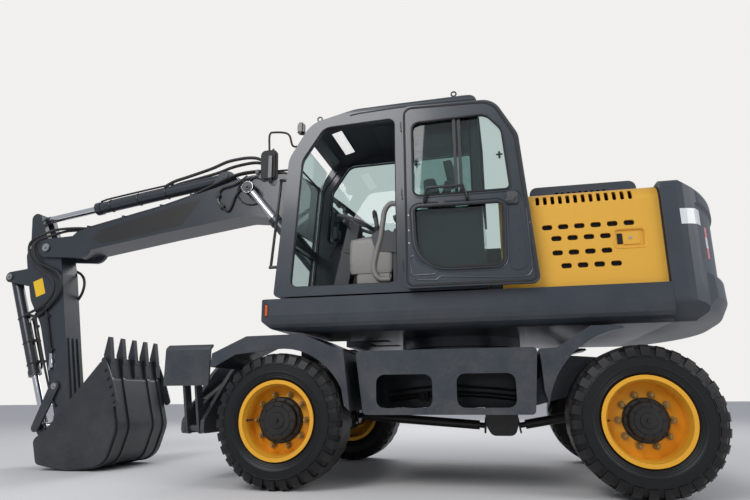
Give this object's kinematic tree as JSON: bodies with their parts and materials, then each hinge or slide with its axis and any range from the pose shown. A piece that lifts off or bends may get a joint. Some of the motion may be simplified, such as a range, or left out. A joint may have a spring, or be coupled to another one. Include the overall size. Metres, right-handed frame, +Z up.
{
  "type": "wheeled excavator",
  "caption": "Wheeled excavator with a cab on a slewing upper structure, boom, stick and bucket moved by cylinders, steered axle and stabilizers.",
  "frame": {"origin": "middle of the whole machine on the ground, as it stands with the boom ahead", "axes": "+X ahead, to the boom and bucket; +Y to the cab side; +Z up"},
  "size_m": [7.2946, 2.6765, 3.1327],
  "materials": {
    "steel_paint": "charcoal grey machine paint, satin",
    "dark_paint": "dark textured paint",
    "amber_paint": "amber yellow machine paint, gloss",
    "rim_paint": "orange yellow wheel paint, gloss",
    "tyre_rubber": "black tyre rubber",
    "axle_black": "black paint, satin",
    "cast_iron": "cast",
    "chrome": "polished rod",
    "bucket_steel": "dark paint, worn",
    "cab_glass": "tinted safety glass",
    "seat_fabric": "grey seat cloth",
    "cab_plastic": "grey moulded plastic",
    "rail_black": "black gloss paint"
  },
  "bodies": {
    "chassis": {"chassis_frame": "steel_paint", "fenders": "steel_paint", "fixed_axle": "axle_black", "steered_axle": "axle_black", "driveline": "axle_black", "stabilizer_frame": "steel_paint"},
    "upper": {"platform": "steel_paint", "counterweight": "dark_paint", "hood": "amber_paint", "engine": "cast_iron", "right_housing": "steel_paint", "cab_shell": "steel_paint", "cab_glass": "cab_glass", "seat_unit": "seat_fabric", "console": "cab_plastic", "handrails": "rail_black"},
    "hood_lid": {"hood_lid": "dark_paint"},
    "right_door": {"right_door": "amber_paint"},
    "door": {"door": "steel_paint", "door_glass": "cab_glass"},
    "boom": {"boom": "steel_paint"},
    "stick": {"stick": "steel_paint"},
    "bucket": {"bucket": "bucket_steel"},
    "boom_barrels": {"boom_barrels": "steel_paint"},
    "boom_rods": {"boom_rods": "chrome"},
    "stick_barrel": {"stick_barrel": "steel_paint"},
    "stick_rod": {"stick_rod": "chrome"},
    "bucket_barrel": {"bucket_barrel": "steel_paint"},
    "bucket_rod": {"bucket_rod": "chrome"},
    "rocker": {"rocker": "steel_paint"},
    "link": {"link": "steel_paint"},
    "knuckle_left": {"knuckle_left": "axle_black"},
    "knuckle_right": {"knuckle_right": "axle_black"},
    "stabilizer_left": {"stabilizer_arm_left": "steel_paint"},
    "stabilizer_barrel_left": {"stabilizer_barrel_left": "axle_black"},
    "stabilizer_rod_left": {"stabilizer_rod_left": "chrome"},
    "wheel_front_left": {"rim_front_left": "rim_paint", "tyre_front_left": "tyre_rubber"},
    "wheel_rear_left": {"rim_rear_left": "rim_paint", "tyre_rear_left": "tyre_rubber"},
    "stabilizer_right": {"stabilizer_arm_right": "steel_paint"},
    "stabilizer_barrel_right": {"stabilizer_barrel_right": "axle_black"},
    "stabilizer_rod_right": {"stabilizer_rod_right": "chrome"},
    "wheel_front_right": {"rim_front_right": "rim_paint", "tyre_front_right": "tyre_rubber"},
    "wheel_rear_right": {"rim_rear_right": "rim_paint", "tyre_rear_right": "tyre_rubber"}
  },
  "joints": [
    {"name": "slew", "type": "hinge", "parent": "chassis", "child": "upper", "pos_m": [-1.47248, 0, 1.1], "axis": [0, 0, 1], "continuous": true},
    {"name": "boom_lift", "type": "hinge", "parent": "upper", "child": "boom", "pos_m": [-0.97248, 0, 1.65], "axis": [0, -1, 0], "range_deg": [-43, 52]},
    {"name": "stick_swing", "type": "hinge", "parent": "boom", "child": "stick", "pos_m": [3.07757, 0, 2.31322], "axis": [0, -1, 0], "range_deg": [-30, 87]},
    {"name": "bucket_curl", "type": "hinge", "parent": "stick", "child": "bucket", "pos_m": [2.65466, 0, 0.48141], "axis": [0, -1, 0], "range_deg": [-30, 88]},
    {"name": "steer_left", "type": "hinge", "parent": "chassis", "child": "knuckle_left", "pos_m": [-2.77248, 0.95, 0.5], "axis": [0, 0, 1], "range_deg": [-30, 30]},
    {"name": "steer_right", "type": "hinge", "parent": "chassis", "child": "knuckle_right", "pos_m": [-2.77248, -0.95, 0.5], "axis": [0, 0, 1], "range_deg": [-31, 31]},
    {"name": "door_hinge", "type": "hinge", "parent": "upper", "child": "door", "pos_m": [-1.16248, 1.267, 2.2], "axis": [0, 0, 1], "range_deg": [-180, 0]},
    {"name": "hood_lid_hinge", "type": "hinge", "parent": "upper", "child": "hood_lid", "pos_m": [-2.13248, 0, 2.181], "axis": [0, 1, 0], "range_deg": [0, 60]},
    {"name": "right_door_hinge", "type": "hinge", "parent": "upper", "child": "right_door", "pos_m": [-1.98548, -1.182, 1.7], "axis": [0, 0, 1], "range_deg": [0, 110]},
    {"name": "stabilizer_left", "type": "hinge", "parent": "chassis", "child": "stabilizer_left", "pos_m": [0.66552, 0.96, 0.43], "axis": [-1, 0, 0], "range_deg": [0, 120]},
    {"name": "stabilizer_barrel_left_swing", "type": "hinge", "parent": "chassis", "child": "stabilizer_barrel_left", "pos_m": [0.66552, 0.376, 0.824], "axis": [1, 0, 0], "range_deg": [-1.17, 0]},
    {"name": "stabilizer_rod_left_slide", "type": "slide", "parent": "stabilizer_barrel_left", "child": "stabilizer_rod_left", "axis": [0, 0.9198, -0.3924], "range_m": [0, 0.33715]},
    {"name": "stabilizer_right", "type": "hinge", "parent": "chassis", "child": "stabilizer_right", "pos_m": [0.66552, -0.96, 0.43], "axis": [1, 0, 0], "range_deg": [0, 120]},
    {"name": "stabilizer_barrel_right_swing", "type": "hinge", "parent": "chassis", "child": "stabilizer_barrel_right", "pos_m": [0.66552, -0.376, 0.824], "axis": [-1, 0, 0], "range_deg": [-1.17, 0]},
    {"name": "stabilizer_rod_right_slide", "type": "slide", "parent": "stabilizer_barrel_right", "child": "stabilizer_rod_right", "axis": [0, -0.9198, -0.3924], "range_m": [0, 0.33715]},
    {"name": "wheel_front_left_spin", "type": "hinge", "parent": "chassis", "child": "wheel_front_left", "pos_m": [-0.17248, 1.099, 0.5], "axis": [0, 1, 0], "continuous": true},
    {"name": "wheel_front_right_spin", "type": "hinge", "parent": "chassis", "child": "wheel_front_right", "pos_m": [-0.17248, -1.099, 0.5], "axis": [0, 1, 0], "continuous": true},
    {"name": "wheel_rear_left_spin", "type": "hinge", "parent": "knuckle_left", "child": "wheel_rear_left", "pos_m": [-2.77248, 1.099, 0.5], "axis": [0, 1, 0], "continuous": true},
    {"name": "wheel_rear_right_spin", "type": "hinge", "parent": "knuckle_right", "child": "wheel_rear_right", "pos_m": [-2.77248, -1.099, 0.5], "axis": [0, 1, 0], "continuous": true},
    {"name": "boom_barrel_swing", "type": "hinge", "parent": "upper", "child": "boom_barrels", "pos_m": [-0.54248, 0, 1.35], "axis": [0, -1, 0], "range_deg": [-44.84, 54.22]},
    {"name": "boom_rod_slide", "type": "slide", "parent": "boom_barrels", "child": "boom_rods", "axis": [0.6323, 0, 0.7747], "range_m": [-0.36282, 0.43876]},
    {"name": "stick_barrel_swing", "type": "hinge", "parent": "boom", "child": "stick_barrel", "pos_m": [0.97737, 0, 3.00998], "axis": [0, -1, 0], "range_deg": [-2.62, 0.9]},
    {"name": "stick_rod_slide", "type": "slide", "parent": "stick_barrel", "child": "stick_rod", "axis": [0.9901, 0, -0.14], "range_m": [-0.58838, 0.20289]},
    {"name": "bucket_barrel_swing", "type": "hinge", "parent": "stick", "child": "bucket_barrel", "pos_m": [3.57748, 0, 2.02026], "axis": [0, -1, 0], "range_deg": [-2.91, 8.53]},
    {"name": "bucket_rod_slide", "type": "slide", "parent": "bucket_barrel", "child": "bucket_rod", "axis": [-0.3587, 0, -0.9335], "range_m": [-0.49009, 0.16708]},
    {"name": "rocker_swing", "type": "hinge", "parent": "stick", "child": "rocker", "pos_m": [2.77747, 0, 0.79995], "axis": [0, -1, 0], "range_deg": [-25.4, 74.5]},
    {"name": "link_swing", "type": "hinge", "parent": "rocker", "child": "link", "pos_m": [2.94716, 0, 0.37993], "axis": [0, -1, 0], "range_deg": [-64.63, 22.03]}
  ],
  "couplings": [
    {"joint": "steer_right", "follows": "steer_left", "ratio": 1},
    {"joint": "boom_barrel_swing", "follows": "boom_lift", "ratio": 1.0222},
    {"joint": "boom_rod_slide", "follows": "boom_lift", "m_per_rad": 0.47397},
    {"joint": "stick_barrel_swing", "follows": "stick_swing", "ratio": -0.02947},
    {"joint": "stick_rod_slide", "follows": "stick_swing", "m_per_rad": -0.37989},
    {"joint": "bucket_barrel_swing", "follows": "bucket_curl", "ratio": 0.095},
    {"joint": "bucket_rod_slide", "follows": "bucket_curl", "m_per_rad": -0.31283},
    {"joint": "rocker_swing", "follows": "bucket_curl", "ratio": 0.83},
    {"joint": "link_swing", "follows": "bucket_curl", "ratio": -0.72},
    {"joint": "stabilizer_barrel_left_swing", "follows": "stabilizer_left", "ratio": -0.00951},
    {"joint": "stabilizer_rod_left_slide", "follows": "stabilizer_left", "m_per_rad": 0.15782},
    {"joint": "stabilizer_barrel_right_swing", "follows": "stabilizer_right", "ratio": -0.00951},
    {"joint": "stabilizer_rod_right_slide", "follows": "stabilizer_right", "m_per_rad": 0.15782}
  ]
}
